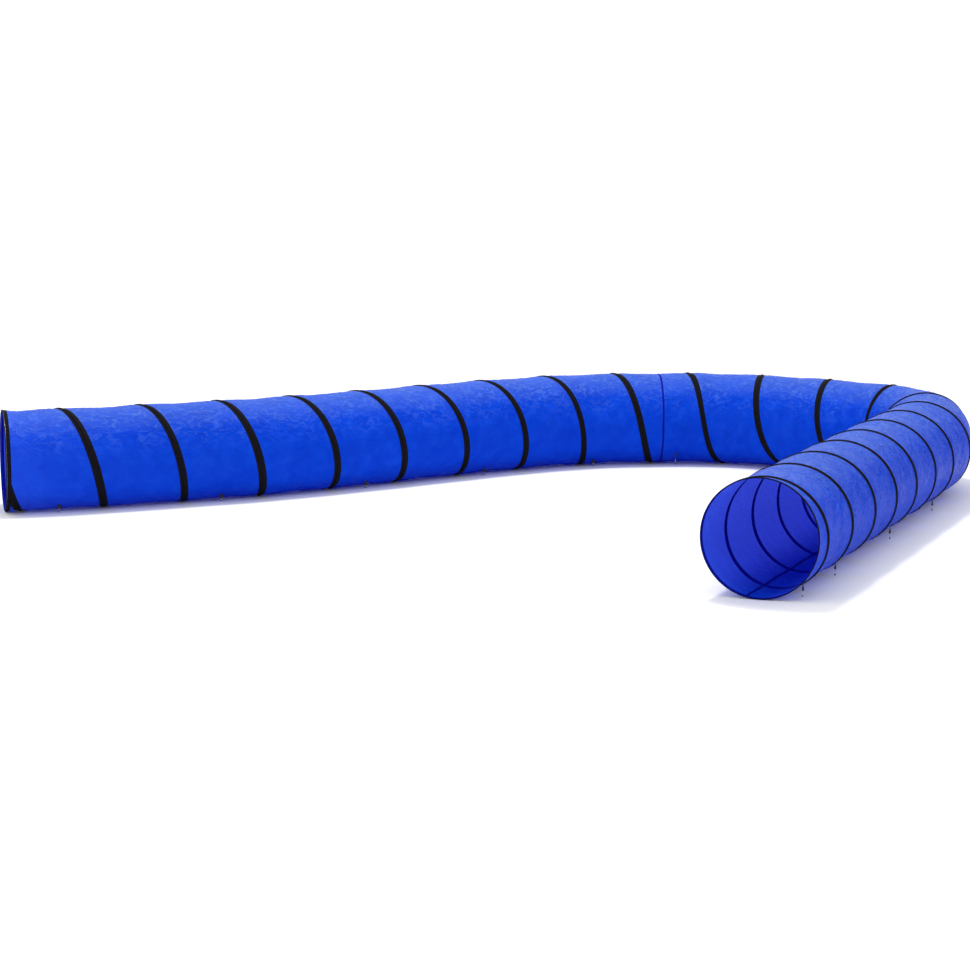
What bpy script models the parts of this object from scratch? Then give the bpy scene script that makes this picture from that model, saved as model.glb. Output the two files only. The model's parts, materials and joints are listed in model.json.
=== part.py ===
"""A spiral-sprung fabric agility tunnel, laid out on the ground in a long hook.

The tunnel is a fabric tube on one steel spiral, with a closed hoop at each mouth. The route runs over
the ground from the near mouth. It is straight, then bends left through the corner, then runs on to the
far mouth. Fifteen sections share the length, and neighbours meet where the spiral passes the ground.
Metres, +Z up, the ground at z = 0 and the middle of the footprint at the origin.
"""

import bisect
import math

import bmesh
import bpy
from mathutils import Vector

# Driving dimensions, in metres unless a comment says degrees.
OUTER_RADIUS = 0.275  # over the binding tape
PITCH = 0.452  # from one turn of the spiral to the next
NEAR_MOUTH = -0.13  # in turns from where the spiral first passes the top, as every place along the route is
FAR_MOUTH = 21.7
SIDES = 20  # facets round the tube
FIRST_HEADING = 68.5  # degrees from +X to the first stretch
TURN_BENDS = (0,) * 7 + (16, 45, 12, 9, 28, 11, 20, 7, 3, -2, -2, -9, 1, -7, -10)  # degrees left, per turn
CUTS = (1.5, 3.5, 5.5, 7.5, 8.5, 9.5, 10.5, 11.5, 12.5, 13.5, 14.5, 16.5, 18.5, 20.5)  # in turns

TAPE_THICKNESS = 0.0008
TAPE_WIDTH = 0.045
COVER_THICKNESS = 0.001
WIRE_RADIUS = 0.0022
GAP = 0.0003
BEND_CLEARANCE = 0.00011  # more room at the sides, for each degree of a turn's bend
ROW_BEND = 5.0  # degrees, the most that one row of facets turns

MOUTH_TAPE_WIDTH = 0.025
HOOP_INSET = 0.004  # from the mouth's edge to the middle of the hoop
WIRE_START = 0.05  # turns from a hoop to the spiral's end
TAPE_START = 0.11  # turns from a hoop to the end of the spiral's tape
POINT_LENGTH = 0.004  # of the ground point at the end of each length of wire

SEAM_AT = 12.4  # the tape over the joined covers
SEAM_WIDTH = 0.012
SEAM_CLEAR = 2  # facets left open on each side of the spiral's tape

TAB_ANGLE = 140.0  # degrees from the top of the tube to a peg tab
RIGHT_TABS = (0.06, 1.35, 3.82, 6.04)  # on the right of the route
LEFT_TABS = (12.2, 13.4, 15.2, 17.1, 19.1, 21.1)  # and on its left
TAB_CLEARANCE = 0.002  # from the tube to the strap's inner face
TAB_STRAP = (0.010, 0.0025, 0.026)  # width, thickness, length of the webbing
TAB_LOOP = (0.0035, 0.0025, 0.020)  # and of the elastic loop below it
TAB_BEAD = 0.0045  # radius of the bead on the loop

SHORTEST_STEP = 0.005  # turns from a cut end to the facet's next corner
SAME = 1e-6  # of a facet

COVER_RADIUS = OUTER_RADIUS - TAPE_THICKNESS - GAP
LINING_RADIUS = COVER_RADIUS - COVER_THICKNESS
FACET = 2 * math.pi / SIDES
TURN_LENGTH = 2 * math.pi * OUTER_RADIUS

BLUE = (0.012, 0.055, 0.55)
NAVY = (0.008, 0.018, 0.19)
BLACK = (0.009, 0.008, 0.012)
STEEL = (0.45, 0.46, 0.48)


def clear_scene():
    for obj in list(bpy.data.objects):
        bpy.data.objects.remove(obj)


def material(name, colour, roughness, metallic=0.0):
    made = bpy.data.materials.new(name)
    made.use_nodes = True
    shader = made.node_tree.nodes["Principled BSDF"]
    shader.inputs["Base Color"].default_value = (*colour, 1.0)
    shader.inputs["Roughness"].default_value = roughness
    shader.inputs["Metallic"].default_value = metallic
    return made


def make_route():
    """The stations of the route, as (distance, x, y, heading). Each turn's stretch is one arc."""
    at, x, y, heading = NEAR_MOUTH * PITCH, 0.0, 0.0, math.radians(FIRST_HEADING)
    stations = [(at, x, y, heading)]
    for turn, bend in enumerate(TURN_BENDS):
        share = min(turn + 1, FAR_MOUTH) - (turn if turn else NEAR_MOUTH)
        rows = max(1, math.ceil(abs(bend) / ROW_BEND))
        step, bent = share * PITCH / rows, share * math.radians(bend) / rows
        chord = step if bent == 0 else step * math.sin(bent / 2) / (bent / 2)
        for _ in range(rows):
            x += chord * math.cos(heading + bent / 2)
            y += chord * math.sin(heading + bent / 2)
            at, heading = at + step, heading + bent
            stations.append((at, x, y, heading))
    return stations


ROUTE = make_route()
DISTANCES = [station[0] for station in ROUTE]


def corner_turn(corner):
    """Where a corner of the facets is, in turns to the right from the top. The lowest facet is flat."""
    return (corner + 0.5) / SIDES


def on_ring(station, corner, radius):
    """A corner of the faceted ring at a station. The radius is to the middle of its facets."""
    _, x, y, heading = station
    angle = 2 * math.pi * corner_turn(corner)
    reach = radius / math.cos(FACET / 2)
    out = reach * math.sin(angle)
    up = OUTER_RADIUS + reach * math.cos(angle)
    return Vector((x + out * math.sin(heading), y - out * math.cos(heading), up))


def place(at, turned, radius):
    """The point on the faceted tube at a distance along the route and so many turns from the top."""
    last = len(ROUTE) - 2
    row = min(max(bisect.bisect_right(DISTANCES, at) - 1, 0), last)
    here, there = ROUTE[row], ROUTE[row + 1]
    along = (at - here[0]) / (there[0] - here[0])
    corner = math.floor(turned * SIDES - 0.5 + SAME)
    across = max(0.0, turned * SIDES - 0.5 - corner)
    near = on_ring(here, corner, radius).lerp(on_ring(here, corner + 1, radius), across)
    far = on_ring(there, corner, radius).lerp(on_ring(there, corner + 1, radius), across)
    return near.lerp(far, along)


def clearance(at, turned):
    """The gap between two layers of the tube, wider at the sides, where the route's bends kink them."""
    turn = max(0, int(at / PITCH))
    bend = max(abs(bend) for bend in TURN_BENDS[max(0, turn - 1) : turn + 2])
    aside = max(0.0, abs(math.sin(2 * math.pi * turned)) - math.sin(FACET / 2))
    return GAP + BEND_CLEARANCE * bend * aside


def join(layers, closed):
    """A solid through a list of outlines with equal numbers of points, or single points at its tips."""
    mesh = bmesh.new()
    rows = [[mesh.verts.new(point) for point in layer] for layer in layers]
    pairs = list(zip(rows, rows[1:] + rows[:1])) if closed else list(zip(rows, rows[1:]))
    for here, there in pairs:
        count = max(len(here), len(there))
        for n in range(count):
            corners = [here[n % len(here)], here[(n + 1) % len(here)]]
            corners += [there[(n + 1) % len(there)], there[n % len(there)]]
            mesh.faces.new(list(dict.fromkeys(corners)))
    if not closed:
        for row in (rows[0], rows[-1]):
            if len(row) > 2:
                mesh.faces.new(row)
    bmesh.ops.recalc_face_normals(mesh, faces=mesh.faces)
    return mesh


def add_part(name, mesh, made_of, holder):
    """The solid as an object on its section's empty, with its origin there."""
    data = bpy.data.meshes.new(name)
    for vertex in mesh.verts:
        vertex.co -= holder.location
    mesh.to_mesh(data)
    mesh.free()
    data.materials.append(made_of)
    part = bpy.data.objects.new(name, data)
    part.parent = holder
    bpy.context.collection.objects.link(part)
    return part


def ring(outline):
    """A closed ring round the tube. outline gives its (distance, radius) corners at a turn from the top."""
    layers = []
    for corner in range(SIDES):
        turned = corner_turn(corner)
        layers.append([place(at, turned, radius) for at, radius in outline(turned)])
    return join(layers, closed=True)


def cover_panel(start, end):
    """The length of fabric tube between two distances, with a ring at each station between them."""
    between = [at for at in DISTANCES if start + GAP < at < end - GAP]
    rings = [start + GAP / 2, *between, end - GAP / 2]
    outside = [(at, COVER_RADIUS) for at in rings]
    inside = [(at, LINING_RADIUS) for at in reversed(rings)]
    return ring(lambda turned: outside + inside)


def wire_corners(at, turned):
    """The (distance, radius) corners of the wire's section, where its middle is at a distance."""
    middle = LINING_RADIUS - clearance(at, turned) - WIRE_RADIUS
    offsets = ((0, WIRE_RADIUS), (WIRE_RADIUS, 0), (0, -WIRE_RADIUS), (-WIRE_RADIUS, 0))
    return [(at + along, middle + out) for along, out in offsets]


def tape_corners(low, high, turned):
    """The (distance, radius) corners of a tape's section, between two distances."""
    inner = COVER_RADIUS + clearance((low + high) / 2, turned)
    outer = inner + TAPE_THICKNESS
    return [(low, inner), (high, inner), (high, outer), (low, outer)]


def turn_steps(first, last):
    """The places along the spiral, in turns, from first to last: both ends and each facet's corner."""
    low = math.ceil((first + SHORTEST_STEP) * SIDES - 0.5)
    high = math.floor((last - SHORTEST_STEP) * SIDES - 0.5)
    return [first, *(corner_turn(corner) for corner in range(low, high + 1)), last]


def wire_outline(turned):
    return [place(at, turned, radius) for at, radius in wire_corners(turned * PITCH, turned)]


def wire_tip(turned):
    (_, outer), _, (_, inner), _ = wire_corners(turned * PITCH, turned)
    return [place(turned * PITCH, turned, (outer + inner) / 2)]


def spring_wire(first, last):
    """A length of the spiral's wire, with a ground point at each end."""
    point = POINT_LENGTH / TURN_LENGTH
    gap = GAP / TURN_LENGTH
    steps = turn_steps(first + point + gap, last - point - gap)
    layers = [wire_tip(first + gap), *(wire_outline(turned) for turned in steps), wire_tip(last - gap)]
    return join(layers, closed=False)


def tape_outline(at, turned, width):
    corners = tape_corners(at - width / 2, at + width / 2, turned)
    return [place(along, turned, radius) for along, radius in corners]


def binding_tape(first, last):
    """The tape over a length of the spiral."""
    gap = GAP / TURN_LENGTH
    steps = turn_steps(first + gap, last - gap)
    return join([tape_outline(turned * PITCH, turned, TAPE_WIDTH) for turned in steps], closed=False)


def seam_tape():
    """The tape over the join between the cover's two lengths, open where the spiral's tape crosses it."""
    first = math.ceil(SEAM_AT * SIDES) + SEAM_CLEAR
    turns = [corner_turn(corner) for corner in range(first, first + SIDES - 2 * SEAM_CLEAR)]
    return join([tape_outline(SEAM_AT * PITCH, turned, SEAM_WIDTH) for turned in turns], closed=False)


def mouth_hoop(at):
    """The closed hoop of wire at a mouth."""
    return ring(lambda turned: wire_corners(at, turned))


def mouth_tape(low, high):
    """The tape that binds a mouth's edge."""
    return ring(lambda turned: tape_corners(low, high, turned))


def box_layer(centre, along, out, width, thickness):
    half = along * width / 2
    side = out * thickness / 2
    return [centre - half - side, centre + half - side, centre + half + side, centre - half + side]


def peg_tab(at, hand):
    """A webbing tab that hangs from the side of the tube, with its elastic loop and bead. Hand 1 is right."""
    angle = hand * TAB_ANGLE / 360
    foot = place(at, angle % 1.0, OUTER_RADIUS)
    middle = place(at, 0.0, OUTER_RADIUS)
    out = Vector((foot.x - middle.x, foot.y - middle.y, 0)).normalized()
    along = Vector((-out.y, out.x, 0))
    hang = foot + out * (TAB_STRAP[1] / 2 + TAB_CLEARANCE)
    strap_end = foot.z - TAB_STRAP[2]
    loop_end = strap_end - TAB_LOOP[2]
    levels = [(foot.z, *TAB_STRAP[:2]), (strap_end, *TAB_STRAP[:2]), (strap_end - 0.002, *TAB_LOOP[:2])]
    levels.append((loop_end, *TAB_LOOP[:2]))
    for share in (0.3, 0.7):
        levels.append((loop_end - 2 * TAB_BEAD * share, 2 * TAB_BEAD, 2 * TAB_BEAD))
    levels.append((loop_end - 2 * TAB_BEAD, TAB_BEAD, TAB_BEAD))
    layers = []
    for height, width, thickness in levels:
        layers.append(box_layer(Vector((hang.x, hang.y, height)), along, out, width, thickness))
    return join(layers, closed=False)


def section_of(turned):
    return bisect.bisect_right(CUTS, turned)


def add_holders():
    """An empty for each section, on the joint where it meets the section before, and one for them all."""
    whole = bpy.data.objects.new("tunnel", None)
    bpy.context.collection.objects.link(whole)
    holders = []
    for number, cut in enumerate((NEAR_MOUTH, *CUTS), start=1):
        holder = bpy.data.objects.new(f"section_{number:02d}_joint", None)
        holder.location = place(cut * PITCH, 0.5, OUTER_RADIUS)
        holder.parent = whole
        bpy.context.collection.objects.link(holder)
        holders.append(holder)
    return whole, holders


def add_sections(holders, finishes):
    edges = (NEAR_MOUTH, *CUTS, FAR_MOUTH)
    last = len(edges) - 2
    for number in range(last + 1):
        start, end, holder = edges[number], edges[number + 1], holders[number]
        label = f"{number + 1:02d}"
        cover = cover_panel(start * PITCH, end * PITCH)
        add_part(f"cover_panel_{label}", cover, finishes["cover"], holder)
        wire_ends = start + WIRE_START * (number == 0), end - WIRE_START * (number == last)
        add_part(f"spring_wire_{label}", spring_wire(*wire_ends), finishes["wire"], holder)
        tape_ends = start + TAPE_START * (number == 0), end - TAPE_START * (number == last)
        add_part(f"binding_tape_{label}", binding_tape(*tape_ends), finishes["tape"], holder)


def add_mouths(holders, finishes):
    mouths = ("near", holders[0], NEAR_MOUTH, 1), ("far", holders[-1], FAR_MOUTH, -1)
    for name, holder, turn, inward in mouths:
        edge = turn * PITCH
        hoop = mouth_hoop(edge + inward * HOOP_INSET)
        add_part(f"{name}_mouth_hoop", hoop, finishes["wire"], holder)
        start, end = sorted((edge, edge + inward * MOUTH_TAPE_WIDTH))
        add_part(f"{name}_mouth_tape", mouth_tape(start, end), finishes["tape"], holder)


def add_tabs(holders, finishes):
    placed = [(turned, 1) for turned in RIGHT_TABS] + [(turned, -1) for turned in LEFT_TABS]
    for number, (turned, hand) in enumerate(placed, start=1):
        tab = peg_tab(turned * PITCH, hand)
        add_part(f"peg_tab_{number:02d}", tab, finishes["tab"], holders[section_of(turned)])


def stand_on_origin(whole):
    """Moves the tunnel so that the middle of its footprint is the origin."""
    bpy.context.view_layer.update()
    corners = [obj.matrix_world @ Vector(corner) for obj in bpy.data.objects if obj.type == "MESH"
               for corner in obj.bound_box]
    for axis in (0, 1):
        low, high = min(corner[axis] for corner in corners), max(corner[axis] for corner in corners)
        whole.location[axis] = -(low + high) / 2


def main():
    clear_scene()
    finishes = {
        "cover": material("blue_polyester", BLUE, 0.45),
        "tape": material("black_binding_tape", BLACK, 0.7),
        "wire": material("spring_steel", STEEL, 0.35, 1.0),
        "seam": material("navy_seam_tape", NAVY, 0.6),
        "tab": material("black_webbing", BLACK, 0.8),
    }
    whole, holders = add_holders()
    add_sections(holders, finishes)
    add_mouths(holders, finishes)
    add_tabs(holders, finishes)
    add_part("cover_seam_tape", seam_tape(), finishes["seam"], holders[section_of(SEAM_AT)])
    stand_on_origin(whole)


main()
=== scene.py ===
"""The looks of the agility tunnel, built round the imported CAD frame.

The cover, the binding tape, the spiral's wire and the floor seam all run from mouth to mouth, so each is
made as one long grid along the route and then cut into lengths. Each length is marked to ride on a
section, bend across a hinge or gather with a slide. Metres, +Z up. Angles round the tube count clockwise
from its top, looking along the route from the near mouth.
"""

import json
import math

import bmesh
import bpy
import numpy as np
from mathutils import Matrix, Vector, noise

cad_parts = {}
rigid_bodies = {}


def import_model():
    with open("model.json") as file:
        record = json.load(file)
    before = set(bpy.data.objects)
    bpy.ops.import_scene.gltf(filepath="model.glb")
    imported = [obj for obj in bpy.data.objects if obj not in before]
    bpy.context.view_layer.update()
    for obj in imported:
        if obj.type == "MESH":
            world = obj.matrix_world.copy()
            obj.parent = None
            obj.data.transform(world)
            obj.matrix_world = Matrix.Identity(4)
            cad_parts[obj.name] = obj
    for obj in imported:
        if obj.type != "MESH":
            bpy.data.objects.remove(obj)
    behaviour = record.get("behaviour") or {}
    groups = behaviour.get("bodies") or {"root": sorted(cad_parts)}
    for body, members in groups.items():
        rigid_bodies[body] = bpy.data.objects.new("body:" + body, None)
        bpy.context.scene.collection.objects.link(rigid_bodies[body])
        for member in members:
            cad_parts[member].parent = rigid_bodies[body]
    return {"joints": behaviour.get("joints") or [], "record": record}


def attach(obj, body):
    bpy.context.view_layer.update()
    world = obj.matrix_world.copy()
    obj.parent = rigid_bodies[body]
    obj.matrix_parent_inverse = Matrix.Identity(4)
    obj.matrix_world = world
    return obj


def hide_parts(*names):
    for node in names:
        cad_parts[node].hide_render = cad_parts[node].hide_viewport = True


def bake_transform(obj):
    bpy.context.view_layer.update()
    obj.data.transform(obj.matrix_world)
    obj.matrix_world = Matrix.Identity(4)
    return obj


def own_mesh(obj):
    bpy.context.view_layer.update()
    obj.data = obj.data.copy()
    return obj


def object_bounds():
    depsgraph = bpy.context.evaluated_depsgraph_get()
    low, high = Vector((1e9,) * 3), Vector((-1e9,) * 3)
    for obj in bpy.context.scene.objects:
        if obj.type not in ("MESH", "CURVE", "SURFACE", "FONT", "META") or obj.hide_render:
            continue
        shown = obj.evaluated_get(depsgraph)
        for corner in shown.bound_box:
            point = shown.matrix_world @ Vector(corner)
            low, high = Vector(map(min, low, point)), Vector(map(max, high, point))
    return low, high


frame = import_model()
cad_low, cad_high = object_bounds()

# The CAD's driving dimensions.
OUTER_RADIUS = 0.275
PITCH = 0.452
NEAR_MOUTH = -0.13 * PITCH  # measured from where the spiral first passes the top, as every place is
FAR_MOUTH = 21.7 * PITCH
TURN_BENDS = (0,) * 7 + (16, 45, 12, 9, 28, 11, 20, 7, 3, -2, -2, -9, 1, -7, -10)  # degrees, to the left
# The turns at which sections meet.
CUTS = (1.5, 3.5, 5.5, 7.5, 8.5, 9.5, 10.5, 11.5, 12.5, 13.5, 14.5, 16.5, 18.5, 20.5)
FULL = 2 * math.pi

# Radii of the layers, in metres from the middle of the tube.
COVER_RADIUS = 0.2694
WIRE_MIDDLE = 0.2715
WIRE_RADIUS = 0.0022
TAPE_INNER = 0.2686
TAPE_OUTER = 0.2702
RIDGE_OUTER = 0.2748

TAPE_WIDTH = 0.045
STITCH_INSET = 0.0035  # from the tape's edge to its row of stitches
RIDGE_WIDTH = 0.013
MOUTH_TAPE_WIDTH = 0.025
HOOP_AT = 0.0045  # from the mouth's edge to the hoop
FLOOR_SEAM_ANGLE = math.radians(192)
FLOOR_SEAM_WIDTH = 0.014
JOIN_SEAM_AT = 12.4 * PITCH
JOIN_SEAM_WIDTH = 0.012

COVER_STEPS_PER_TURN = 50  # rows of the cover along one turn's length
COVER_COLUMNS = 192
SPIRAL_STEPS_PER_TURN = 120
ROOM_TO_CUT = 0.07  # made past each end of a length, because some cuts are slanted

TAB_ANGLE = math.radians(140)
TUCKED_ANGLE = math.radians(152)  # of the tabs past the join
RIGHT_TABS = (0.06, 1.35, 3.82, 6.04)  # in turns, on the right of the route
LEFT_TABS = (12.2, 13.4, 15.2, 17.1, 19.1, 21.1)  # and on its left

joints = {joint["name"]: joint for joint in frame["joints"]}
sections = frame["record"]["behaviour"]["bodies"]


# The route ------------------------------------------------------------------------------------------


def route_starts():
    """Where each turn's arc starts: x, y and heading. The first gather joint fixes the whole route."""
    first = joints["near_gather_1"]
    heading = math.atan2(first["axis"][1], first["axis"][0])
    x = first["pos_m"][0] - CUTS[0] * PITCH * math.cos(heading)
    y = first["pos_m"][1] - CUTS[0] * PITCH * math.sin(heading)
    starts = []
    for bend in TURN_BENDS:
        starts.append((x, y, heading))
        turned = math.radians(bend)
        chord = PITCH * (1 if bend == 0 else math.sin(turned / 2) / (turned / 2))
        x += chord * math.cos(heading + turned / 2)
        y += chord * math.sin(heading + turned / 2)
        heading += turned
    return np.array(starts)


STARTS = route_starts()


def along_route(at):
    """x, y and heading of the middle line at a distance along the route."""
    at = np.asarray(at, float)
    turn = np.clip(np.floor(at / PITCH + 1e-9).astype(int), 0, len(TURN_BENDS) - 1)
    run = at - turn * PITCH
    bent = np.radians(np.array(TURN_BENDS, float))[turn] * run / PITCH
    chord = run * np.sinc(bent / FULL)
    start = STARTS[turn]
    x = start[..., 0] + chord * np.cos(start[..., 2] + bent / 2)
    y = start[..., 1] + chord * np.sin(start[..., 2] + bent / 2)
    return x, y, start[..., 2] + bent


def on_tube(at, angle, radius):
    """Points at distances along the route, angles from the top and radii."""
    at, angle, radius = np.broadcast_arrays(at, angle, radius)
    x, y, heading = along_route(at)
    out = radius * np.sin(angle)
    up = OUTER_RADIUS + radius * np.cos(angle)
    return np.stack([x + out * np.sin(heading), y - out * np.cos(heading), up], axis=-1)


def plane_at(at, heading=None):
    """A plane across the tube, as a point and the direction of travel through it."""
    x, y, own = along_route(at)
    turned = float(own) if heading is None else heading
    return Vector((float(x), float(y), OUTER_RADIUS)), Vector((math.cos(turned), math.sin(turned), 0))


# Lengths: how the tunnel is cut and what each length does when it moves --------------------------------


def slide_heading(name):
    return math.atan2(joints[name]["axis"][1], joints[name]["axis"][0])


def gather(joint, travel):
    """The motion of a length that shortens by a slide's travel, towards its start."""
    return {"kind": "gather", "joint": joint, "travel": travel}


def reach_of(joint):
    """How far a slide closes."""
    return -joints[joint]["range_m"][0]


MOUTH_LENGTH = 0.05  # that keeps its shape when the rest gathers
EDGE = 0.006  # the spiral's tape and wire stop this far inside a mouth's edge
WEDGE = 0.03  # half the rigid length between two stretches that gather along different lines
CORNER_START, CORNER_END = 7, 15  # in turns
FAR_JOINS = (17.5, 20.0)  # turns where the line of gathering changes


def make_lengths():
    """Every length in order: its name, its cut planes, its section and its motion."""
    cuts = []

    def add(name, end, body, motion=None, heading=None):
        cuts.append({"name": name, "end": end, "plane": plane_at(end, heading), "body": body,
                     "motion": motion})

    near = ["near_gather_1", "near_gather_2", "near_gather_3"]
    mouth_end = NEAR_MOUTH + MOUTH_LENGTH
    add("near_mouth", mouth_end, "section_01")
    add("near_stretch", CORNER_START * PITCH, "section_01",
        gather("near_gather_1", sum(reach_of(name) for name in near)))
    for turn in range(CORNER_START, CORNER_END):
        number = turn - CORNER_START + 1
        hinge = joints[f"corner_bend_{number}"]
        add(f"corner_{number}", (turn + 1) * PITCH, hinge["parent"],
            {"kind": "bend", "joint": hinge["name"], "turn": turn})
    slides = ["far_gather_1", "far_gather_2", "far_gather_3"]
    ends = [*(turn * PITCH for turn in FAR_JOINS), FAR_MOUTH - MOUTH_LENGTH]
    start = CORNER_END * PITCH + WEDGE
    for number, (slide, end) in enumerate(zip(slides, ends), start=1):
        heading = slide_heading(slide)
        add(f"far_join_{number}", start, joints[slide]["parent"], heading=heading)
        last = end - (WEDGE if number < 3 else 0)
        add(f"far_stretch_{number}", last, joints[slide]["parent"],
            gather(slide, reach_of(slide)), heading=heading)
        start = end + WEDGE
    add("far_mouth", FAR_MOUTH, joints["far_gather_3"]["child"])
    starts = [NEAR_MOUTH] + [cut["end"] for cut in cuts[:-1]]
    planes = [plane_at(NEAR_MOUTH)] + [cut["plane"] for cut in cuts[:-1]]
    for cut, first, plane in zip(cuts, starts, planes):
        cut["start"], cut["start_plane"] = first, plane
    return cuts


LENGTHS = make_lengths()


def set_moving(piece, length):
    """Attaches a piece to its length's section. A piece on a bending length is left in world place, unattached,
    and one on a gathering length gets its own copy of its mesh.
    """
    motion = length["motion"]
    if motion and motion["kind"] == "bend":
        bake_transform(piece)
        return
    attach(piece, length["body"])
    if motion:
        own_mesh(piece)


# Meshes ---------------------------------------------------------------------------------------------


def grid_mesh(name, points, u, v, round_columns, material, smooth_normals=False):
    """A mesh through a grid of points, rows by columns. u and v are the texture's metres."""
    rows, columns = points.shape[:2]
    index = np.arange(rows * columns).reshape(rows, columns)
    if round_columns:
        index = np.concatenate([index, index[:, :1]], axis=1)
    faces = np.stack([index[:-1, :-1], index[:-1, 1:], index[1:, 1:], index[1:, :-1]], axis=-1)
    mesh = bpy.data.meshes.new(name)
    mesh.from_pydata(points.reshape(-1, 3).tolist(), [], faces.reshape(-1, 4).tolist())
    uv = np.stack(np.broadcast_arrays(u, v), axis=-1)
    corners = np.stack([uv[:-1, :-1], uv[:-1, 1:], uv[1:, 1:], uv[1:, :-1]], axis=2)
    mesh.uv_layers.new(name="metres").data.foreach_set("uv", corners.reshape(-1).astype(np.float32))
    if smooth_normals:
        wrap = np.concatenate([points[:, -1:], points, points[:, :1]], axis=1)
        across = wrap[:, 2:] - wrap[:, :-2]
        along = np.gradient(points, axis=0)
        normals = np.cross(across, along)
        normals /= np.linalg.norm(normals, axis=-1, keepdims=True)
        layer = mesh.attributes.new("whole_normal", "FLOAT_VECTOR", "POINT")
        layer.data.foreach_set("vector", normals.reshape(-1).astype(np.float32))
    mesh.materials.append(material)
    return mesh


def cut_mesh(mesh, start_plane, end_plane, caps=False):
    """Keeps what lies between two planes across the tube."""
    cut = bmesh.new()
    cut.from_mesh(mesh)
    for (point, ahead), inner in ((start_plane, True), (end_plane, False)):
        everything = [*cut.verts, *cut.edges, *cut.faces]
        made = bmesh.ops.bisect_plane(cut, geom=everything, dist=1e-6, plane_co=point, plane_no=ahead,
                                      clear_inner=inner, clear_outer=not inner)
        if caps:
            edges = [edge for edge in made["geom_cut"] if isinstance(edge, bmesh.types.BMEdge)]
            bmesh.ops.holes_fill(cut, edges=edges, sides=0)
    cut.to_mesh(mesh)
    cut.free()


def finish_mesh(name, mesh, sharp_degrees=None):
    """The mesh as a shaded object."""
    mesh.shade_smooth()
    stored = mesh.attributes.get("whole_normal")
    if stored:
        normals = np.zeros(len(mesh.vertices) * 3, np.float32)
        stored.data.foreach_get("vector", normals)
        normals = normals.reshape(-1, 3)
        normals /= np.maximum(np.linalg.norm(normals, axis=1, keepdims=True), 1e-9)
        mesh.normals_split_custom_set_from_vertices(normals.tolist())
        mesh.attributes.remove(mesh.attributes["whole_normal"])
    elif sharp_degrees:
        mesh.set_sharp_from_angle(angle=math.radians(sharp_degrees))
    piece = bpy.data.objects.new(name, mesh)
    bpy.context.scene.collection.objects.link(piece)
    return piece


# Materials --------------------------------------------------------------------------------------------


class Nodes:
    """Adds shader nodes to a material, with a short call for each."""

    def __init__(self, name):
        self.material = bpy.data.materials.new(name)
        self.material.use_nodes = True
        self.tree = self.material.node_tree
        self.shader = self.tree.nodes["Principled BSDF"]
        self.output = self.tree.nodes["Material Output"]

    def add(self, kind, links=None, **settings):
        node = self.tree.nodes.new(kind)
        for key, value in settings.items():
            setattr(node, key, value)
        for socket, value in (links or {}).items():
            self.put(node.inputs[socket], value)
        return node

    def put(self, socket, value):
        if isinstance(value, bpy.types.NodeSocket):
            self.tree.links.new(value, socket)
        else:
            socket.default_value = value

    def metres(self, scale=(1, 1, 1), turned=0.0):
        """The texture's own metres, stretched and turned."""
        uv = self.add("ShaderNodeUVMap", uv_map="metres").outputs[0]
        mapping = self.add("ShaderNodeMapping", {"Vector": uv, "Scale": scale, "Rotation": (0, 0, turned)})
        return mapping.outputs[0]

    def math(self, operation, first, second=0.0, clamp=False):
        node = self.add("ShaderNodeMath", operation=operation, use_clamp=clamp)
        self.put(node.inputs[0], first)
        self.put(node.inputs[1], second)
        return node.outputs[0]

    def noise(self, vector, scale, detail=3.0):
        links = {"Vector": vector, "Scale": scale, "Detail": detail, "Roughness": 0.55}
        return self.add("ShaderNodeTexNoise", links).outputs[0]

    def ridges(self, vector, scale, detail):
        """Sharp-crested creases, as a height."""
        links = {"Vector": vector, "Scale": scale, "Detail": detail, "Roughness": 0.45, "Lacunarity": 2.3,
                 "Offset": 1.0, "Gain": 2.0, "Distortion": 0.5}
        return self.add("ShaderNodeTexNoise", links, noise_type="RIDGED_MULTIFRACTAL").outputs[0]

    def range(self, value, low, high, to_low=0.0, to_high=1.0):
        links = {"Value": value, "From Min": low, "From Max": high, "To Min": to_low, "To Max": to_high}
        return self.add("ShaderNodeMapRange", links).outputs[0]

    def colours(self, factor, stops):
        """A colour ramp through (position, colour) stops."""
        ramp = self.add("ShaderNodeValToRGB", {"Fac": factor})
        elements = ramp.color_ramp.elements
        while len(elements) < len(stops):
            elements.new(0.5)
        for element, (position, colour) in zip(elements, stops):
            element.position = position
            element.color = (*colour, 1)
        return ramp.outputs[0]

    def bump(self, height, distance, strength=1.0, normal=None):
        links = {"Height": height, "Distance": distance, "Strength": strength}
        if normal is not None:
            links["Normal"] = normal
        return self.add("ShaderNodeBump", links).outputs[0]

    def ribs(self, vector, pitch, direction):
        """Even ribs at a spacing. At scale 1 a wave texture has one every FULL / 20."""
        return self.add("ShaderNodeTexWave", {"Vector": vector, "Scale": FULL / pitch / 20},
                        bands_direction=direction).outputs[1]

    def weave(self, pitch):
        """Threads over and under at a spacing, as a height from 0 to 1."""
        return self.math("MULTIPLY", self.ribs(self.metres(), pitch, "X"), self.ribs(self.metres(), pitch, "Y"))


CREASE_HEIGHT = 0.0045
COVER_WEAVE, WEBBING_WEAVE, TAPE_RIB = 0.0005, 0.0014, 0.0012


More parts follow.
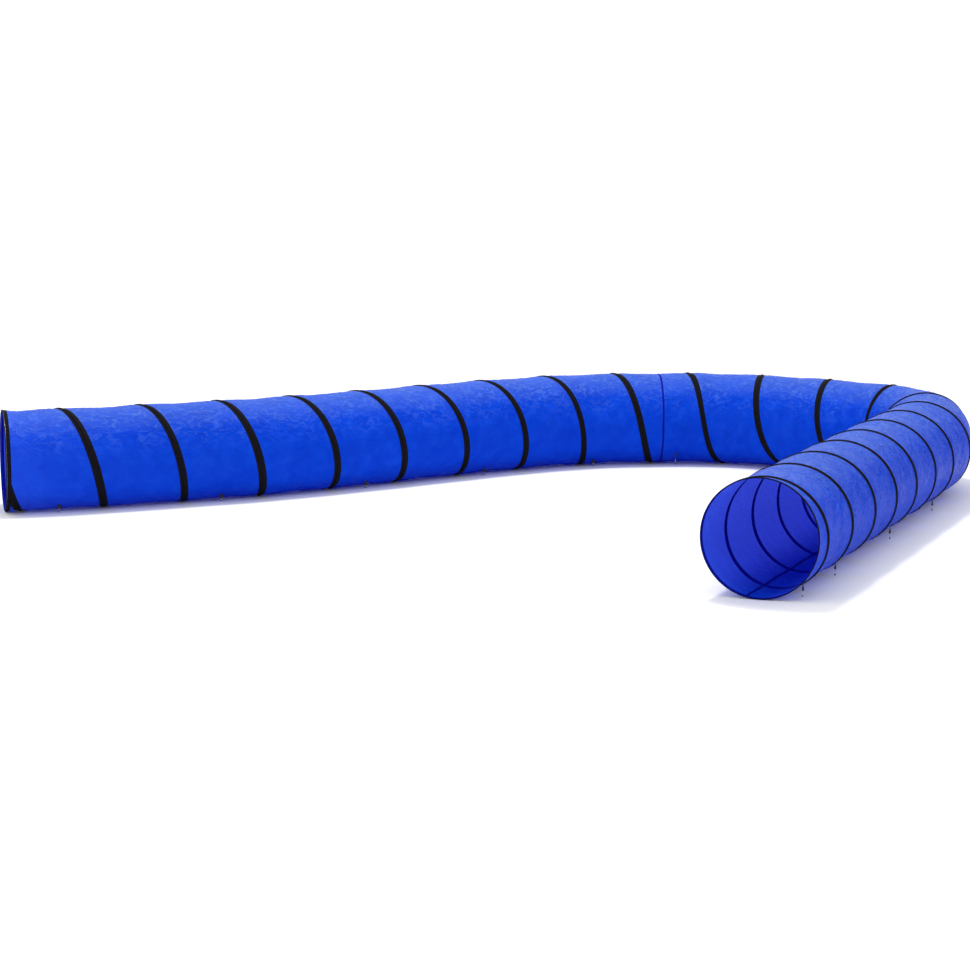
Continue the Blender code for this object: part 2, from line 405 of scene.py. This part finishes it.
def cover_material():
    """Crinkled royal blue polyester, thin enough to glow inside. It is slackest, so most creased, on top. Its
    top is painted paler as a painted sheen, and the crests of its creases there carry painted glints.
    """
    made = Nodes("crinkled_blue_polyester")
    metres = made.metres()
    round_tube = made.add("ShaderNodeSeparateXYZ", {"Vector": metres}).outputs[0]
    upward = made.math("COSINE", made.math("DIVIDE", round_tube, OUTER_RADIUS))
    slack = made.range(upward, -0.2, 0.85, 0.22, 1.0)

    drift = made.add("ShaderNodeTexNoise", {"Vector": metres, "Scale": 9.0, "Detail": 2.0}).outputs[1]
    drift = made.add("ShaderNodeVectorMath", {0: drift, 1: (0.07,) * 3}, operation="MULTIPLY").outputs[0]
    flow = made.add("ShaderNodeVectorMath", {0: metres, 1: drift}, operation="ADD").outputs[0]
    long_way = made.add("ShaderNodeMapping", {"Vector": flow, "Scale": (1.0, 0.5, 1.0)}).outputs[0]
    slanted = made.add("ShaderNodeMapping", {
        "Vector": flow, "Scale": (1.0, 0.3, 1.0), "Rotation": (0, 0, math.radians(35))}).outputs[0]
    crumple = made.ridges(long_way, 32.0, 3.0)
    crackle = made.ridges(flow, 85.0, 2.0)
    tension = made.ridges(slanted, 7.0, 2.0)
    where = made.range(made.noise(flow, 7.0, 3.0), 0.35, 0.62, 0.25, 1.0)
    height = made.math("ADD", crumple, made.math("MULTIPLY", crackle, 0.22))
    height = made.math("MULTIPLY", made.math("MULTIPLY", height, where), slack)
    height = made.math("ADD", height, made.math("MULTIPLY", tension, 0.45))
    normal = made.bump(height, CREASE_HEIGHT)
    normal = made.bump(made.weave(COVER_WEAVE), 0.00006, 0.5, normal)

    colour = made.colours(made.noise(flow, 14.0, 4.0), [
        (0.30, (0.002, 0.048, 0.53)), (0.52, (0.003, 0.060, 0.59)), (0.74, (0.006, 0.076, 0.66))])
    # Painted sheen: the colour turns paler towards the top, where the overhead light falls.
    painted_top_sheen = made.range(upward, 0.55, 1.0, 0.0, 0.25)
    on_top = made.math("MULTIPLY", where, made.range(upward, 0.1, 0.9))
    # Painted glints: the crests of the creases on top are painted pale.
    painted_crest_glints = made.math("MULTIPLY", made.range(crumple, 1.05, 1.6, 0.0, 0.34), on_top)
    painted_paleness = made.math("ADD", painted_top_sheen, painted_crest_glints, clamp=True)
    # The pale blue that the painted sheen and painted glints mix in.
    pale = made.add("ShaderNodeMix", {
        0: painted_paleness, 6: colour, 7: (0.20, 0.36, 0.78, 1)}, data_type="RGBA").outputs[2]
    made.put(made.shader.inputs["Base Color"], pale)
    made.put(made.shader.inputs["Roughness"], made.range(crumple, 0.0, 1.5, 0.30, 0.20))
    made.put(made.shader.inputs["Specular IOR Level"], 0.012)
    made.put(made.shader.inputs["Normal"], normal)
    through = made.add("ShaderNodeBsdfTranslucent", {"Color": (0.06, 0.10, 0.86, 1.0), "Normal": normal})
    both = made.add("ShaderNodeMixShader", {
        "Fac": 0.32, 1: made.shader.outputs[0], 2: through.outputs[0]}).outputs[0]
    made.put(made.output.inputs["Surface"], both)
    return made.material


def tape_material(name, low, high, stitch):
    """Ribbed tape with a row of stitches near each edge. u runs along the tape and v across it."""
    made = Nodes(name)
    parts = made.add("ShaderNodeSeparateXYZ", {"Vector": made.metres()})
    along, across = parts.outputs[0], parts.outputs[1]
    from_row = made.math("SUBTRACT", made.math("ABSOLUTE", across), TAPE_WIDTH / 2 - STITCH_INSET)
    from_row = made.math("ABSOLUTE", from_row)
    in_row = made.range(from_row, 0.0004, 0.0007, 1.0, 0.0)
    step = made.math("FRACT", made.math("DIVIDE", along, 0.004))
    on_stitch = made.range(made.math("ABSOLUTE", made.math("SUBTRACT", step, 0.5)), 0.34, 0.42, 1.0, 0.0)
    stitches = made.math("MULTIPLY", in_row, on_stitch)
    ribs = made.ribs(made.metres(), TAPE_RIB, "X")
    dust = made.noise(made.metres(), 60.0, 4.0)
    colour = made.colours(dust, [(0.3, low), (0.7, high)])
    mixed = made.add("ShaderNodeMix", {0: stitches, 6: colour, 7: (*stitch, 1)}, data_type="RGBA").outputs[2]
    made.put(made.shader.inputs["Base Color"], mixed)
    made.put(made.shader.inputs["Roughness"], made.range(dust, 0.3, 0.7, 0.55, 0.72))
    made.put(made.shader.inputs["Specular IOR Level"], 0.03)
    height = made.math("ADD", made.math("MULTIPLY", ribs, 0.35), stitches)
    pull = made.bump(made.noise(made.metres((1.0, 0.4, 1.0)), 45.0, 3.0), 0.0012)
    made.put(made.shader.inputs["Normal"], made.bump(height, 0.0003, 1.0, pull))
    return made.material


def webbing_material():
    made = Nodes("black_webbing")
    weave = made.weave(WEBBING_WEAVE)
    made.put(made.shader.inputs["Base Color"], made.colours(weave, [
        (0.1, (0.010, 0.010, 0.013)), (0.9, (0.030, 0.030, 0.036))]))
    made.put(made.shader.inputs["Roughness"], made.range(weave, 0.0, 1.0, 0.8, 0.62))
    made.put(made.shader.inputs["Normal"], made.bump(weave, 0.0003))
    return made.material


def elastic_material():
    made = Nodes("pale_elastic_cord")
    twist = made.ribs(made.metres((1, 1, 1), 0.6), TAPE_RIB, "Y")
    made.put(made.shader.inputs["Base Color"], made.colours(twist, [
        (0.1, (0.42, 0.42, 0.42)), (0.9, (0.66, 0.66, 0.64))]))
    made.put(made.shader.inputs["Roughness"], made.range(twist, 0.0, 1.0, 0.75, 0.6))
    made.put(made.shader.inputs["Normal"], made.bump(twist, 0.0003))
    return made.material


def bead_material():
    made = Nodes("grey_moulded_bead")
    object_place = made.add("ShaderNodeTexCoord").outputs["Object"]
    speckle = made.noise(object_place, 900.0, 3.0)
    made.put(made.shader.inputs["Base Color"], made.colours(speckle, [
        (0.3, (0.13, 0.13, 0.14)), (0.7, (0.20, 0.20, 0.21))]))
    made.put(made.shader.inputs["Roughness"], made.range(speckle, 0.3, 0.7, 0.35, 0.5))
    made.put(made.shader.inputs["Normal"], made.bump(speckle, 0.0002))
    return made.material


def wire_material():
    made = Nodes("drawn_spring_steel")
    drawn = made.noise(made.metres((1.0, 40.0, 1.0)), 90.0, 3.0)
    made.put(made.shader.inputs["Base Color"], made.colours(drawn, [
        (0.3, (0.30, 0.31, 0.33)), (0.7, (0.52, 0.53, 0.55))]))
    made.put(made.shader.inputs["Metallic"], 1.0)
    made.put(made.shader.inputs["Roughness"], made.range(drawn, 0.3, 0.7, 0.28, 0.42))
    made.put(made.shader.inputs["Normal"], made.bump(drawn, 0.0001))
    return made.material


def floor_material():
    made = Nodes("pale_floor")
    grain = made.noise(made.add("ShaderNodeTexCoord").outputs["Object"], 3.0, 3.0)
    made.put(made.shader.inputs["Base Color"], made.colours(grain, [
        (0.3, (0.88, 0.88, 0.88)), (0.7, (0.90, 0.90, 0.90))]))
    made.put(made.shader.inputs["Roughness"], 0.9)
    made.put(made.shader.inputs["Specular IOR Level"], 0.1)
    return made.material


FINISH = {
    "cover": cover_material(),
    "tape": tape_material("black_binding_tape", low=(0.003, 0.003, 0.004), high=(0.008, 0.007, 0.009),
                          stitch=(0.018, 0.018, 0.022)),
    # The tape's navy inside is painted shade: the cover seen from within, darker where the tape outside keeps
    # light from shining through.
    "inside_shade": tape_material("navy_tape_inside_shade", low=(0.001, 0.002, 0.20), high=(0.003, 0.004, 0.30),
                            stitch=(0.006, 0.010, 0.40)),
    "seam": tape_material("navy_seam_tape", low=(0.001, 0.003, 0.18), high=(0.003, 0.007, 0.27),
                          stitch=(0.006, 0.014, 0.38)),
    "webbing": webbing_material(),
    "elastic": elastic_material(),
    "bead": bead_material(),
    "wire": wire_material(),
    "floor": floor_material(),
}


# The cover --------------------------------------------------------------------------------------------


def smooth(value, low, high):
    t = np.clip((value - low) / (high - low), 0, 1)
    return t * t * (3 - 2 * t)


def cloth_noise(at, angle, along, around, seed, ridged=False):
    """Smooth noise on the cover, from about -1 to 1, with a cell size along the tube and one around it."""
    size = OUTER_RADIUS / around
    x, y, z = np.cos(angle) * size, np.sin(angle) * size, at / along
    flat = np.stack(np.broadcast_arrays(x, y, z), axis=-1).reshape(-1, 3).tolist()
    values = [noise.noise((a + seed, b - seed, c)) for a, b, c in flat]
    values = np.array(values).reshape(np.broadcast(x, z).shape) * 1.6
    return 1 - 2 * np.abs(values) if ridged else values


def from_spiral(at, angle):
    """The distance along the tube to the nearest turn of the spiral, and its side."""
    apart = at / PITCH - angle / FULL
    return (apart - np.round(apart)) * PITCH


def cover_radius(at, angle):
    """The cover's radius: tight at the tape, drawn in between turns, and creased."""
    apart = from_spiral(at, angle)
    edge = smooth(np.abs(apart), TAPE_WIDTH / 2 + 0.004, PITCH / 2)
    loose = smooth(np.abs(apart), TAPE_WIDTH / 2 + 0.002, TAPE_WIDTH / 2 + 0.03)
    at_mouths = smooth(np.minimum(at - NEAR_MOUTH, FAR_MOUTH - at), MOUTH_TAPE_WIDTH, MOUTH_TAPE_WIDTH + 0.03)
    at_join = smooth(np.abs(at - JOIN_SEAM_AT), JOIN_SEAM_WIDTH / 2, JOIN_SEAM_WIDTH / 2 + 0.02)
    free = loose * at_mouths * at_join
    sag = (0.0042 + 0.0012 * np.cos(angle)) * edge * at_mouths
    slant = angle + at * 2.2
    broad = cloth_noise(at, slant, 0.16, 0.07, 3.0)
    folds = cloth_noise(at, slant, 0.11, 0.030, 11.0, ridged=True)
    crumple = cloth_noise(at, angle - at * 1.4, 0.038, 0.022, 23.0, ridged=True)
    puckers = cloth_noise(at, angle, 0.09, 0.011, 37.0)
    by_tape = np.exp(-np.maximum(np.abs(apart) - TAPE_WIDTH / 2, 0) / 0.04)
    top = 0.55 + 0.45 * smooth(np.cos(angle), -0.6, 0.7)
    creases = 0.0016 * broad + 0.0014 * folds * top + 0.0012 * crumple * top
    creases += 0.0007 * puckers * by_tape
    return COVER_RADIUS - sag + np.minimum(creases, 0.0035) * free


def places(length, per_turn):
    """Evenly spaced places along the route that reach past both ends of a length."""
    low = math.floor((length["start"] - ROOM_TO_CUT) / PITCH * per_turn)
    high = math.ceil((length["end"] + ROOM_TO_CUT) / PITCH * per_turn)
    return np.arange(low, high + 1) / per_turn * PITCH


# The cover's texture starts and ends under the tube, at its floor seam.
COLUMN_ANGLES = FLOOR_SEAM_ANGLE - FULL + FULL * np.arange(COVER_COLUMNS + 1) / COVER_COLUMNS
ROW_AT = np.arange(NEAR_MOUTH - ROOM_TO_CUT, FAR_MOUTH + ROOM_TO_CUT, PITCH / COVER_STEPS_PER_TURN)
COVER_POINTS = on_tube(
    ROW_AT[:, None], COLUMN_ANGLES[None, :-1], cover_radius(ROW_AT[:, None], COLUMN_ANGLES[None, :-1]))


def build_cover(length):
    """One length of the cover, as a sheet."""
    inside = (ROW_AT > length["start"] - ROOM_TO_CUT) & (ROW_AT < length["end"] + ROOM_TO_CUT)
    rows = np.flatnonzero(inside)
    points = COVER_POINTS[rows]
    mesh = grid_mesh(f"cover_{length['name']}", points, COLUMN_ANGLES[None, :] * OUTER_RADIUS,
                     ROW_AT[rows][:, None], True, FINISH["cover"], smooth_normals=True)
    cut_mesh(mesh, length["start_plane"], length["plane"])
    piece = finish_mesh(f"cover_{length['name']}", mesh)
    set_moving(piece, length)
    return piece


# The tape, the wire and the seams ---------------------------------------------------------------------


def tape_profile():
    """The tape's section, as (across, radius) corners: over the wire's ridge outside, flat inside."""
    half, ridge = TAPE_WIDTH / 2, RIDGE_WIDTH / 2
    outside = [(-half, TAPE_OUTER - 0.0003), (-half + 0.0004, TAPE_OUTER), (-half + 0.002, TAPE_OUTER)]
    for share in np.linspace(-1, 1, 11):
        height = (1 + math.cos(math.pi * share)) / 2
        outside.append((share * ridge, TAPE_OUTER + (RIDGE_OUTER - TAPE_OUTER) * height ** 0.8))
    outside += [(half - 0.002, TAPE_OUTER), (half - 0.0004, TAPE_OUTER), (half, TAPE_OUTER - 0.0003)]
    inside = [(half, TAPE_INNER + 0.0002), (half - 0.0004, TAPE_INNER), (half / 2, TAPE_INNER)]
    inside += [(0.0, TAPE_INNER - 0.0002), (-half / 2, TAPE_INNER), (-half + 0.0004, TAPE_INNER)]
    inside.append((-half, TAPE_INNER + 0.0002))
    return np.array(outside + inside), len(outside)


def trimmed_ends(length):
    """The cut planes of a length of what is sewn on the cover, which stops short of the mouths' edges."""
    start, end = length["start_plane"], length["plane"]
    if length["name"] == "near_mouth":
        start = plane_at(NEAR_MOUTH + EDGE)
    if length["name"] == "far_mouth":
        end = plane_at(FAR_MOUTH - EDGE)
    return start, end


def build_tape(length):
    """The binding tape over the spiral, black outside and navy inside. The navy is painted shade: the cover
    seen from within, darker where the tape keeps light out.
    """
    profile, outside = tape_profile()
    turns = places(length, SPIRAL_STEPS_PER_TURN) / PITCH
    at = turns[:, None] * PITCH + profile[None, :, 0]
    radius = np.broadcast_to(profile[None, :, 1], at.shape)
    points = on_tube(at, turns[:, None] * FULL, radius)
    across = np.append(profile[:, 0], profile[0, 0])
    mesh = grid_mesh(f"binding_tape_{length['name']}", points, turns[:, None] * FULL * OUTER_RADIUS,
                     across[None, :], True, FINISH["tape"])
    mesh.materials.append(FINISH["inside_shade"])
    columns = len(profile)
    # The inner faces take the navy painted shade.
    inside_shade = np.zeros(len(mesh.polygons), np.int32)
    inside_shade.reshape(-1, columns)[:, outside:columns - 1] = 1
    mesh.polygons.foreach_set("material_index", inside_shade)
    cut_mesh(mesh, *trimmed_ends(length), caps=True)
    piece = finish_mesh(f"binding_tape_{length['name']}", mesh, 50)
    set_moving(piece, length)
    return piece


def build_wire(length):
    """The spring wire, in the channel between the tape and the cover."""
    sides = 8
    turns = places(length, SPIRAL_STEPS_PER_TURN) / PITCH
    round_wire = np.arange(sides) / sides * FULL
    at = turns[:, None] * PITCH + WIRE_RADIUS * np.cos(round_wire)[None, :]
    radius = WIRE_MIDDLE + WIRE_RADIUS * np.sin(round_wire)[None, :]
    points = on_tube(at, turns[:, None] * FULL, np.broadcast_to(radius, at.shape))
    v = np.arange(sides + 1) / sides * FULL * WIRE_RADIUS
    mesh = grid_mesh(f"spiral_wire_{length['name']}", points, turns[:, None] * FULL * OUTER_RADIUS,
                     v[None, :], True, FINISH["wire"])
    cut_mesh(mesh, *trimmed_ends(length), caps=True)
    piece = finish_mesh(f"spiral_wire_{length['name']}", mesh, 60)
    set_moving(piece, length)
    return piece


def build_floor_seam(length):
    """The felled seam that closes the cover into a tube, along its floor."""
    at = places(length, COVER_STEPS_PER_TURN)
    half = FLOOR_SEAM_WIDTH / 2
    shape = [(-half, 0.0002), (-half * 0.6, 0.0007), (half * 0.6, 0.0007), (half, 0.0002),
             (half, -0.0009), (half * 0.6, -0.0015), (-half * 0.6, -0.0015), (-half, -0.0009)]
    shape = np.array(shape)
    angle = FLOOR_SEAM_ANGLE + shape[None, :, 0] / OUTER_RADIUS
    radius = cover_radius(at[:, None], angle) + shape[None, :, 1]
    points = on_tube(at[:, None], angle, radius)
    across = np.append(shape[:, 0], shape[0, 0]) * (TAPE_WIDTH - 2 * STITCH_INSET) / FLOOR_SEAM_WIDTH
    mesh = grid_mesh(f"floor_seam_{length['name']}", points, at[:, None], across[None, :], True, FINISH["seam"])
    cut_mesh(mesh, *trimmed_ends(length), caps=True)
    piece = finish_mesh(f"floor_seam_{length['name']}", mesh, 50)
    set_moving(piece, length)
    return piece


def build_join_seam():
    """The tape over the join between the cover's two lengths, sewn a little unevenly."""
    steps = 240
    angle = np.arange(steps) / steps * FULL
    wander = 0.0012 * np.sin(3 * angle + 0.5) + 0.0008 * np.sin(7 * angle)
    half = JOIN_SEAM_WIDTH / 2
    shape = np.array([
        (-half, -0.0010), (-half, 0.0005), (-half * 0.7, 0.0010), (0.0, 0.0013),
        (half * 0.7, 0.0010), (half, 0.0005), (half, -0.0010), (0.0, -0.0012)])
    at = JOIN_SEAM_AT + shape[None, :, 0] + wander[:, None]
    base = cover_radius(np.full((steps, 1), JOIN_SEAM_AT), angle[:, None])
    radius = base + shape[None, :, 1]
    points = on_tube(at, angle[:, None], radius)
    points = np.concatenate([points, points[:1]])
    u = np.arange(steps + 1) / steps * FULL * OUTER_RADIUS
    across = np.append(shape[:, 0], shape[0, 0]) * (TAPE_WIDTH - 2 * STITCH_INSET) / JOIN_SEAM_WIDTH
    mesh = grid_mesh("join_seam", points, u[:, None], across[None, :], True, FINISH["seam"])
    weld(mesh)
    piece = finish_mesh("join_seam", mesh, 50)
    turn = int(JOIN_SEAM_AT / PITCH)
    set_moving(piece, LENGTHS[2 + turn - CORNER_START])
    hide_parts("cover_seam_tape")


def weld(mesh):
    """Joins the ring's first and last rows."""
    ring = bmesh.new()
    ring.from_mesh(mesh)
    bmesh.ops.remove_doubles(ring, verts=ring.verts, dist=1e-6)
    ring.to_mesh(mesh)
    ring.free()


def build_mouth(name, edge, inward, length):
    """A mouth's hoop and the tape folded over it."""
    steps = 240
    angle = np.arange(steps + 1) / steps * FULL
    rolled = []
    for share in np.linspace(0, 1, 9):
        turned = math.pi * (0.35 - 1.3 * share)
        rolled.append((HOOP_AT - 0.0040 * math.cos(turned), WIRE_MIDDLE + 0.0033 * math.sin(turned)))
    shape = [(MOUTH_TAPE_WIDTH, TAPE_OUTER), (MOUTH_TAPE_WIDTH - 0.0004, TAPE_OUTER + 0.0004),
             (MOUTH_TAPE_WIDTH - 0.002, TAPE_OUTER + 0.0005), (0.012, TAPE_OUTER + 0.0008)]
    shape += rolled
    outside = len(shape) - 6
    shape += [(0.012, TAPE_INNER - 0.0006), (MOUTH_TAPE_WIDTH - 0.002, TAPE_INNER - 0.0005),
              (MOUTH_TAPE_WIDTH - 0.0004, TAPE_INNER - 0.0004), (MOUTH_TAPE_WIDTH, TAPE_INNER)]
    shape = np.array(shape)
    at = edge + inward * shape[None, :, 0]
    points = on_tube(np.broadcast_to(at, (steps + 1, len(shape))), angle[:, None], shape[None, :, 1])
    if inward < 0:
        points = points[::-1]
    middle = (MOUTH_TAPE_WIDTH + 0.004) / 2
    across = np.append(shape[:, 0], shape[0, 0]) - middle
    across *= (TAPE_WIDTH / 2 - STITCH_INSET) / (middle - STITCH_INSET)
    mesh = grid_mesh(f"{name}_mouth_edge", points, (angle * OUTER_RADIUS)[:, None], across[None, :], True,
                     FINISH["tape"])
    # The tape's inner faces take the same navy painted shade as the spiral tape's inside.
    mesh.materials.append(FINISH["inside_shade"])
    inside_shade = np.zeros(len(mesh.polygons), np.int32)
    inside_shade.reshape(-1, len(shape))[:, outside:len(shape) - 1] = 1
    mesh.polygons.foreach_set("material_index", inside_shade)
    weld(mesh)
    tape = finish_mesh(f"{name}_mouth_edge", mesh, 50)
    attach(tape, length["body"])
    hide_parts(f"{name}_mouth_tape")

    sides = 10
    round_wire = np.arange(sides) / sides * FULL
    hoop_at = edge + inward * HOOP_AT + WIRE_RADIUS * np.cos(round_wire)[None, :]
    hoop_radius = WIRE_MIDDLE + WIRE_RADIUS * np.sin(round_wire)[None, :]
    points = on_tube(np.broadcast_to(hoop_at, (steps + 1, sides)), angle[:, None], hoop_radius)
    v = np.arange(sides + 1) / sides * FULL * WIRE_RADIUS
    mesh = grid_mesh(f"{name}_hoop", points, (angle * OUTER_RADIUS)[:, None], v[None, :], True, FINISH["wire"])
    weld(mesh)
    hoop = finish_mesh(f"{name}_hoop", mesh, 60)
    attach(hoop, length["body"])
    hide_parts(f"{name}_mouth_hoop")


# The peg tabs -----------------------------------------------------------------------------------------


def ribbon(name, path, width_way, width, thickness, material):
    """A flat strap along a path, with rounded edges."""
    path = np.array(path, float)
    ahead = np.gradient(path, axis=0)
    ahead /= np.linalg.norm(ahead, axis=1, keepdims=True)
    way = np.broadcast_to(np.array(width_way, float), path.shape)
    face = np.cross(ahead, way)
    face /= np.linalg.norm(face, axis=1, keepdims=True)
    shape = [(-0.5, -0.2), (-0.5, 0.2), (-0.44, 0.5), (0.44, 0.5),
             (0.5, 0.2), (0.5, -0.2), (0.44, -0.5), (-0.44, -0.5)]
    columns = [path + a * width * way + b * thickness * face for a, b in shape]
    points = np.stack(columns, axis=1)
    run = np.concatenate([[0], np.cumsum(np.linalg.norm(np.diff(path, axis=0), axis=1))])
    v = np.array([a * width for a, _ in shape] + [shape[0][0] * width])
    mesh = grid_mesh(name, points, run[:, None], v[None, :], True, material)
    fill_ends(mesh)
    return finish_mesh(name, mesh, 40)


def fill_ends(mesh):
    solid = bmesh.new()
    solid.from_mesh(mesh)
    edges = [edge for edge in solid.edges if len(edge.link_faces) == 1]
    bmesh.ops.holes_fill(solid, edges=edges, sides=0)
    bmesh.ops.recalc_face_normals(solid, faces=solid.faces)
    solid.to_mesh(mesh)
    solid.free()


def tube_loop(name, centre, way, half_width, height, radius, material):
    """A closed loop of round cord that hangs in one plane."""
    steps, sides = 40, 8
    turned = np.arange(steps + 1) / steps * FULL
    across, up = half_width * np.sin(turned), height / 2 * np.cos(turned)
    middle = centre[None, :] + across[:, None] * way[None, :] + up[:, None] * np.array([0, 0, 1.0])[None, :]
    outward = np.sin(turned)[:, None] * way[None, :] + np.cos(turned)[:, None] * np.array([0, 0, 1.0])[None, :]
    side = np.cross(way, np.array([0, 0, 1.0]))
    round_cord = np.arange(sides) / sides * FULL
    points = middle[:, None, :] + radius * (np.cos(round_cord)[None, :, None] * outward[:, None, :]
                                            + np.sin(round_cord)[None, :, None] * side[None, None, :])
    v = np.arange(sides + 1) / sides * FULL * radius
    mesh = grid_mesh(name, points, (turned * height / 2)[:, None], v[None, :], True, material)
    weld(mesh)
    fill_ends(mesh)
    return finish_mesh(name, mesh)


def bead(name, centre, radius, material):
    """A short barrel bead with a hole through it."""
    steps = 28
    shape = [(0.30, 1.0), (0.62, 0.96), (0.90, 0.62), (1.0, 0.2), (1.0, -0.2), (0.90, -0.62),
             (0.62, -0.96), (0.30, -1.0), (0.24, 0.0)]
    turned = np.arange(steps + 1) / steps * FULL
    rings = [np.stack([a * np.cos(turned), a * np.sin(turned), np.full_like(turned, b)], axis=1)
             for a, b in shape]
    points = centre + radius * np.stack(rings, axis=1)
    v = np.arange(len(shape) + 1) * radius / 2
    mesh = grid_mesh(name, points, (turned * radius)[:, None], v[None, :], True, material)
    weld(mesh)
    fill_ends(mesh)
    return finish_mesh(name, mesh, 60)


def build_tab(label, turned, hand, body, node=None):
    """A webbing strap sewn to the tube's side, with its elastic loop and its bead.

    The straps past the join are short and wide, and tucked further under the tube.
    """
    at = turned * PITCH
    tucked = at > JOIN_SEAM_AT
    down = TUCKED_ANGLE if tucked else TAB_ANGLE
    size, width, turn = (0.5, 0.022, 0.0) if tucked else (1.0, 0.010, 1.0)
    angle = hand * down
    foot = on_tube(at, angle, OUTER_RADIUS)
    middle = on_tube(at, 0.0, OUTER_RADIUS)
    out = np.array([foot[0] - middle[0], foot[1] - middle[1], 0.0])
    out /= np.linalg.norm(out)
    along = np.array([-out[1], out[0], 0.0])
    strap_thickness, hang_out = 0.0022, 0.0034
    path = [on_tube(at, hand * (down - back * size / OUTER_RADIUS), COVER_RADIUS + 0.0012 + lift)
            for back, lift in ((0.026, 0.0), (0.020, 0.0002), (0.014, 0.001), (0.008, 0.003), (0.003, 0.0055))]
    hang = foot + out * hang_out
    path += [hang - np.array([0, 0, drop * size]) for drop in (0.003, 0.009, 0.015, 0.021, 0.0255)]
    twist = turn * np.radians([0, 0, 0, 0, 2, 8, 26, 44, 56, 60])[:, None]
    ways = along * np.cos(twist) + out * np.sin(twist)
    strap = ribbon(f"peg_strap_{label}", path, ways, width, strap_thickness, FINISH["webbing"])
    loop_height = 0.021 * size
    loop_centre = hang - np.array([0, 0, 0.0235 * size + loop_height / 2])
    loop = tube_loop(f"peg_loop_{label}", loop_centre, ways[-1], 0.0026, loop_height, 0.0009, FINISH["elastic"])
    ball = bead(f"peg_bead_{label}", hang - np.array([0, 0, 0.0495 * size]), 0.0045, FINISH["bead"])
    for piece in (strap, loop, ball):
        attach(piece, body)
    if node:
        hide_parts(node)


def build_tabs():
    placed = [(turned, 1) for turned in RIGHT_TABS] + [(turned, -1) for turned in LEFT_TABS]
    for number, (turned, hand) in enumerate(placed, start=1):
        node = f"peg_tab_{number:02d}"
        body = next(name for name, nodes in sections.items() if node in nodes)
        build_tab(f"{number:02d}", turned, hand, body, node)
        if number > 1:
            build_tab(f"{number:02d}_twin", turned, -hand, body)


# All of it --------------------------------------------------------------------------------------------


def section_nodes(length, kind):
    """The CAD nodes that a length stands for: those of one kind in the sections that it reaches into."""
    found = []
    for name in sorted(sections):
        node = f"{kind}_{name[-2:]}"
        spans = SECTION_SPANS[name]
        if spans[0] < length["end"] and spans[1] > length["start"]:
            found.append(node)
    return found


def section_spans():
    """Each section's start and end along the route."""
    edges = [NEAR_MOUTH, *(cut * PITCH for cut in CUTS), FAR_MOUTH]
    return {name: (edges[n], edges[n + 1]) for n, name in enumerate(sorted(sections))}


SECTION_SPANS = section_spans()


def build_tunnel():
    for length in LENGTHS:
        tape = build_tape(length)
        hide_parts(*section_nodes(length, "binding_tape"))
        wire = build_wire(length)
        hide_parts(*section_nodes(length, "spring_wire"))
        seam = build_floor_seam(length)
        cover = build_cover(length)
        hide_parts(*section_nodes(length, "cover_panel"))
    build_join_seam()
    build_mouth("near", NEAR_MOUTH, 1, LENGTHS[0])
    build_mouth("far", FAR_MOUTH, -1, LENGTHS[-1])
    build_tabs()


def build_floor():
    centre = (cad_low + cad_high) / 2
    mesh = bpy.data.meshes.new("floor")
    half = 60.0
    corners = [(centre.x + a * half, centre.y + b * half, 0.0) for a, b in ((-1, -1), (1, -1), (1, 1), (-1, 1))]
    mesh.from_pydata(corners, [], [(0, 1, 2, 3)])
    mesh.materials.append(FINISH["floor"])
    floor = bpy.data.objects.new("floor", mesh)
    bpy.context.scene.collection.objects.link(floor)


def add_light(name, place, target, size, power):
    data = bpy.data.lights.new(name, "AREA")
    data.shape = "RECTANGLE"
    data.size, data.size_y = size
    data.energy = power
    light = bpy.data.objects.new(name, data)
    light.location = place
    light.rotation_mode = "QUATERNION"
    light.rotation_quaternion = (Vector(target) - Vector(place)).to_track_quat("-Z", "Y")
    bpy.context.scene.collection.objects.link(light)


def build_stage():
    build_floor()
    add_light("overhead", (0.0, 1.0, 7.0), (0, 0.4, 0), (1.8, 1.2), 200)
    add_light("glint", (0.3, 1.2, 7.0), (0, 0.4, 0), (0.3, 0.3), 110)
    world = bpy.data.worlds.new("white_room")
    world.use_nodes = True
    world.node_tree.nodes["Background"].inputs["Color"].default_value = (1, 1, 1, 1)
    world.node_tree.nodes["Background"].inputs["Strength"].default_value = 1.13
    bpy.context.scene.world = world
    bpy.context.scene.view_settings.view_transform = "Standard"


def build_camera():
    """The viewpoint: standing well back from the hook's open side, a little above it."""
    data = bpy.data.cameras.new("camera")
    data.lens = 98.97
    data.sensor_width = 36
    data.sensor_fit = "HORIZONTAL"
    data.clip_end = 200
    camera = bpy.data.objects.new("camera", data)
    camera.location = (-0.0612, -13.9825, 2.196)
    camera.rotation_euler = (math.radians(81.758), 0, 0)
    bpy.context.scene.collection.objects.link(camera)
    bpy.context.scene.camera = camera


build_camera()
build_stage()
build_tunnel()
